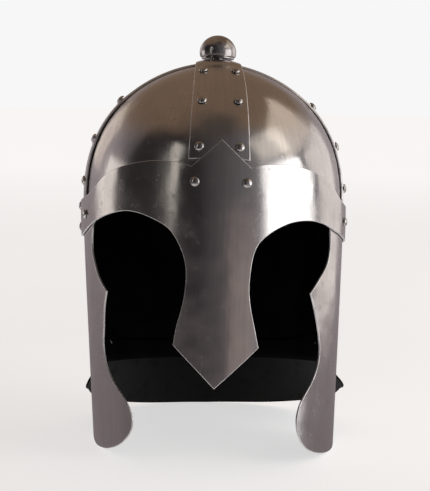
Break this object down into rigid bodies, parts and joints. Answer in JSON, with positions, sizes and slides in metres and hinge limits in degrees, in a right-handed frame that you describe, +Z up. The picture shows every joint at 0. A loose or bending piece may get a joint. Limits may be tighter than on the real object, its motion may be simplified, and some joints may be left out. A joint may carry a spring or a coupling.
{
  "type": "norse iron helmet",
  "caption": "Riveted steel helmet: round crown under crossing bands, ball finial, brow plate with eye arches and spear-ended nasal, cheek plates and a flared neck guard.",
  "frame": {"origin": "on the surface it stands on, under the middle of the helmet's box", "axes": "+Z up, the face looks along -Y, +X is the side on the viewer's right when the face is seen"},
  "size_m": [0.2201, 0.2554, 0.3199],
  "materials": {
    "polished_steel": "polished by hand, with fine upright brushing outside and black paint inside",
    "rivet_steel": "polished, worn at the rims",
    "finial_steel": "polished, slightly darker than the sheet"
  },
  "bodies": {
    "root": {"crown_panel_front_left": "polished_steel", "crown_panel_front_right": "polished_steel", "crown_panel_rear_left": "polished_steel", "crown_panel_rear_right": "polished_steel", "band_fore_aft": "polished_steel", "band_transverse": "polished_steel", "face_plate": "polished_steel", "cheek_plate_left": "polished_steel", "cheek_plate_right": "polished_steel", "neck_guard": "polished_steel", "finial": "finial_steel", "rivet_front_0_left": "rivet_steel", "rivet_front_0_right": "rivet_steel", "rivet_front_1_left": "rivet_steel", "rivet_front_1_right": "rivet_steel", "rivet_front_2_left": "rivet_steel", "rivet_front_2_right": "rivet_steel", "rivet_rear_0_left": "rivet_steel", "rivet_rear_0_right": "rivet_steel", "rivet_rear_1_left": "rivet_steel", "rivet_rear_1_right": "rivet_steel", "rivet_rear_2_left": "rivet_steel", "rivet_rear_2_right": "rivet_steel", "rivet_rear_3_left": "rivet_steel", "rivet_rear_3_right": "rivet_steel", "rivet_nape_left": "rivet_steel", "rivet_nape_right": "rivet_steel", "rivet_brow_left": "rivet_steel", "rivet_brow_right": "rivet_steel", "rivet_brow_end_left_0": "rivet_steel", "rivet_brow_end_left_1": "rivet_steel", "rivet_brow_end_left_2": "rivet_steel", "rivet_brow_end_right_0": "rivet_steel", "rivet_brow_end_right_1": "rivet_steel", "rivet_brow_end_right_2": "rivet_steel", "rivet_guard_left": "rivet_steel", "rivet_guard_right": "rivet_steel", "rivet_left_0_front": "rivet_steel", "rivet_left_0_rear": "rivet_steel", "rivet_left_1_front": "rivet_steel", "rivet_left_1_rear": "rivet_steel", "rivet_left_2_front": "rivet_steel", "rivet_left_2_rear": "rivet_steel", "rivet_right_0_front": "rivet_steel", "rivet_right_0_rear": "rivet_steel", "rivet_right_1_front": "rivet_steel", "rivet_right_1_rear": "rivet_steel", "rivet_right_2_front": "rivet_steel", "rivet_right_2_rear": "rivet_steel"}
  },
  "joints": []
}
